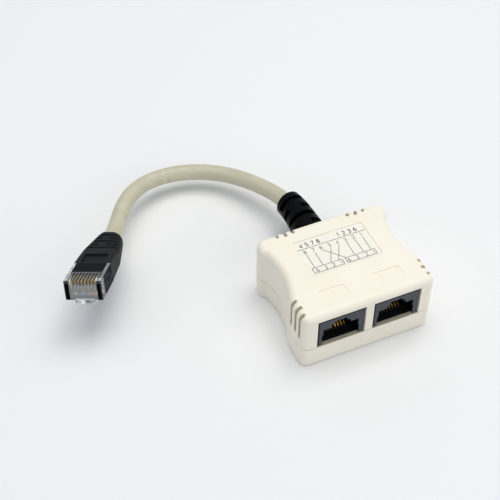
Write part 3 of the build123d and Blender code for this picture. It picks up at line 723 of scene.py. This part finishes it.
paintNode("plug_body", makeClear(clearSettings))
overmould = movedCopy("plug_boot", "plugBoot", bootVinyl, growCore)
wireEnds = []
for number in range(1, 9):
    paintNode(f"plug_contact_{number}", plugGold)
    paintNode(f"board_wire_{number}", wireMaterials[number])
    wireEnds.append(movedCopy(f"plug_wire_{number}", f"plugWire.{number}", wireMaterials[number],
                              growWire(number)))
print("plug dressed")


# Cable

def makeCable(settings):
    # a round bevel along a quadratic curve that starts and ends on the first and last point of the route
    curve = bpy.data.curves.new("cable", "CURVE")
    curve.dimensions = "3D"
    curve.bevel_depth = settings["diameter"] / 2
    curve.bevel_resolution = settings["bevelSteps"]
    curve.use_fill_caps = True
    spline = curve.splines.new("NURBS")
    route = np.array(settings["route"])
    spline.points.add(len(route) - 1)
    spline.points.foreach_set("co", np.column_stack([route, np.ones(len(route))]).ravel())
    spline.order_u = settings["curveOrder"]
    spline.use_endpoint_u = True
    spline.resolution_u = settings["curveSteps"]
    curve.materials.append(cableVinyl)
    piece = bpy.data.objects.new("networkCable", curve)
    bpy.context.scene.collection.objects.link(piece)
    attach(piece, "root")
    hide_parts("cable")
    return piece


cable = makeCable(cableSettings)
onCable = [nodes["strain_relief"], overmould, nodes["plug_body"]] + wireEnds
onCable += [nodes[f"plug_contact_{number}"] for number in range(1, 9)]
print("cable laid")


# Wiring plan printed on the label

printSettings = {
    "filmTop": 0.02142,
    "inkThickness": 0.000012,
    "lineWidth": 0.00020,
    "mitreLimit": 0.6,
    "digitStroke": 0.00019,
    "digitHeight": 0.00150,
    "digitWidth": 0.9,
    "digitMiddle": 0.27,
    "underlineY": 0.00846,
    "underlineHalf": 0.01165,
    "digitY": 0.00630,
    "planTop": 0.00590,
    "planBottom": 0.00012,
    "boxBottom": -0.00200,
    "boxes": ((-0.01064, -0.00051), (0.00051, 0.01064)),
    "topPlaces": {
        8: -0.00968, 7: -0.00689, 6: -0.00426, 5: -0.00142,
        4: 0.00137, 3: 0.00406, 2: 0.00689, 1: 0.00963,
    },
    "boxPlaces": {
        8: -0.00967, 7: -0.00689, 5: -0.00422, 4: -0.00161,
        6: 0.00100, 3: 0.00385, 2: 0.00700, 1: 0.00953,
    },
    "boxDigits": {8: "6", 7: "3", 5: "2", 4: "1", 6: "6", 3: "3", 2: "2", 1: "1"},
    "boxDigitShift": 0.0004,
    "boxDigitRise": 0.0003,
    "boxDigitShare": 0.9,
    "headDigits": (("4578", -0.0098), ("1236", 0.0030)),
    "headRise": 0.0007,
    "headPitch": 0.00195,
    "headStroke": 0.00030,
}


def arc(centreX, centreY, radiusX, radiusY, start, end, count=12):
    # points of an ellipse's arc: centre + radius * (cos, sin), between two angles in degrees
    angle = np.radians(np.linspace(start, end, count))
    return np.stack([centreX + radiusX * np.cos(angle), centreY + radiusY * np.sin(angle)], axis=1)


# each digit's strokes in a cell one unit high
digitStrokes = {
    "1": [np.array([(0.10, 0.78), (0.34, 1.0), (0.34, 0.0)])],
    "2": [np.concatenate([arc(0.30, 0.72, 0.27, 0.28, 165, -35), [(0.02, 0.0), (0.60, 0.0)]])],
    "3": [np.concatenate([arc(0.28, 0.76, 0.25, 0.24, 150, -80),
                          arc(0.28, 0.27, 0.30, 0.27, 80, -150)])],
    "4": [np.array([(0.44, 0.0), (0.44, 1.0), (0.0, 0.30), (0.62, 0.30)])],
    "5": [np.concatenate([[(0.55, 1.0), (0.13, 1.0), (0.08, 0.54)],
                          arc(0.28, 0.31, 0.30, 0.31, 125, -150)])],
    "6": [np.concatenate([[(0.48, 0.97)], arc(0.34, 0.34, 0.32, 0.62, 110, 180, 8),
                          arc(0.31, 0.30, 0.29, 0.30, 180, 530, 18)])],
    "7": [np.array([(0.0, 1.0), (0.58, 1.0), (0.20, 0.0)])],
    "8": [arc(0.30, 0.77, 0.23, 0.23, 0, 360, 16), arc(0.30, 0.28, 0.29, 0.28, 0, 360, 18)],
}


def inkStroke(points, width, settings):
    # a flat strip along a drawn line: at each corner its side is the mean of the two runs' normals, made
    # longer by one over the cosine of half the turn, so that the strip keeps its width
    runs = np.diff(points, axis=0)
    runs = runs / np.linalg.norm(runs, axis=1, keepdims=True)
    normals = np.stack([-runs[:, 1], runs[:, 0]], axis=1)
    mean = np.concatenate([normals[:1], normals[:-1] + normals[1:], normals[-1:]])
    mean = mean / np.linalg.norm(mean, axis=1, keepdims=True)
    lean = np.concatenate([[1.0], np.sum(mean[1:-1] * normals[1:], axis=1), [1.0]])
    mitre = np.maximum(lean, settings["mitreLimit"])
    sides = np.column_stack([mean / mitre[:, None], np.zeros(len(points))])
    place = np.column_stack([points, np.full(len(points), settings["filmTop"])])
    ups = np.tile([0.0, 0.0, 1.0], (len(points), 1))
    half, ink = width / 2, settings["inkThickness"]
    loop = np.array([(-half, 0.0), (half, 0.0), (half, ink), (-half, ink)])
    return carryLoop(place, sides, ups, loop)


def inkDigit(digit, x, y, height, width, settings):
    # the cell's strokes at this height, with the digit's middle over x and its foot on y
    size = height * np.array([settings["digitWidth"], 1.0])
    start = np.array([x - settings["digitMiddle"] * height, y])
    return [inkStroke(points * size + start, width, settings) for points in digitStrokes[digit]]


def printLabel(settings):
    # underline, top numbers, leads down to the boxes, box numbers, the boxes and the two groups on top
    width, stroke, height = settings["lineWidth"], settings["digitStroke"], settings["digitHeight"]
    half, line = settings["underlineHalf"], settings["underlineY"]
    low, high = settings["boxBottom"], settings["planBottom"]
    boxFoot, boxHeight = low + settings["boxDigitRise"], height * settings["boxDigitShare"]
    parts = [inkStroke(np.array([(-half, line), (half, line)]), width, settings)]
    for number, x in settings["topPlaces"].items():
        parts += inkDigit(str(number), x, settings["digitY"], height, stroke, settings)
    for number, x in settings["boxPlaces"].items():
        top = (settings["topPlaces"][number], settings["planTop"])
        parts.append(inkStroke(np.array([top, (x, high)]), width, settings))
        parts += inkDigit(settings["boxDigits"][number], x + settings["boxDigitShift"], boxFoot,
                          boxHeight, stroke, settings)
    for left, right in settings["boxes"]:
        outline = [(left, low), (right, low), (right, high), (left, high), (left, low)]
        parts.append(inkStroke(np.array(outline), width, settings))
    for digits, x in settings["headDigits"]:
        for place, digit in enumerate(digits):
            parts += inkDigit(digit, x + place * settings["headPitch"], line + settings["headRise"],
                              height, settings["headStroke"], settings)
    verts, faces = joinParts(parts)
    return addPiece("labelPrint", verts, faces, labelInk)


printLabel(printSettings)
print("label printed")


# Stage

floorSettings = {
    "half": 1.6,
    "colour": linear(242, 243, 244),
    "roughness": 0.8,
    "specular": 0.1,
}


def makeFloor(settings):
    # one large pale sheet under the part
    half = settings["half"]
    mesh = bpy.data.meshes.new("floor")
    corners = [(-half, -half, 0.0), (half, -half, 0.0), (half, half, 0.0), (-half, half, 0.0)]
    mesh.from_pydata(corners, [], [(0, 1, 2, 3)])
    material, tree, shader = startMaterial("paleFloor")
    shader.inputs["Base Color"].default_value = settings["colour"]
    shader.inputs["Roughness"].default_value = settings["roughness"]
    shader.inputs["Specular IOR Level"].default_value = settings["specular"]
    mesh.materials.append(material)
    floor = bpy.data.objects.new("floor", mesh)
    bpy.context.scene.collection.objects.link(floor)


lampSettings = {
    "colour": (1.0, 0.975, 0.91),
    "aim": (0.0, 0.02, 0.0),
    "lamps": {
        "softTop": {"place": (0.02, 0.12, 0.95), "size": 0.66, "power": 3.9},
        "softLeft": {"place": (-0.48, 0.10, 0.80), "size": 0.30, "power": 0.35},
        "softRight": {"place": (0.40, 0.12, 0.90), "size": 0.50, "power": 1.65},
        "softFront": {"place": (0.30, -0.72, 0.45), "size": 0.60, "power": 1.35},
    },
}
worldSettings = {
    "colour": linear(238, 244, 255),
    "strength": 0.44,
}
cameraSettings = {
    "place": (-0.115385, -0.193929, 0.263726),
    "target": (-0.016750, 0.033207, 0.0),
    "lens": 77.807,
    "sensor": 36,
    "nearest": 0.01,
}


def placeAimed(thing, place, aim):
    # an object whose own -Z axis looks from its place at the aim
    thing.location = place
    thing.rotation_euler = (Vector(aim) - thing.location).to_track_quat("-Z", "Y").to_euler()
    bpy.context.scene.collection.objects.link(thing)


def makeLamps(settings):
    for name, values in settings["lamps"].items():
        data = bpy.data.lights.new(name, "AREA")
        data.shape = "SQUARE"
        data.size = values["size"]
        data.energy = values["power"]
        data.color = settings["colour"]
        placeAimed(bpy.data.objects.new(name, data), values["place"], settings["aim"])


def makeWorld(settings):
    world = bpy.data.worlds.new("softRoom")
    world.use_nodes = True
    background = world.node_tree.nodes["Background"]
    background.inputs["Color"].default_value = settings["colour"]
    background.inputs["Strength"].default_value = settings["strength"]
    bpy.context.scene.world = world


def makeCamera(settings):
    data = bpy.data.cameras.new("camera")
    data.lens = settings["lens"]
    data.sensor_width = settings["sensor"]
    data.clip_start = settings["nearest"]
    camera = bpy.data.objects.new("camera", data)
    placeAimed(camera, settings["place"], settings["target"])
    bpy.context.scene.camera = camera


makeFloor(floorSettings)
makeLamps(lampSettings)
makeWorld(worldSettings)
makeCamera(cameraSettings)
bpy.context.scene.view_settings.view_transform = "Standard"
print("stage set")
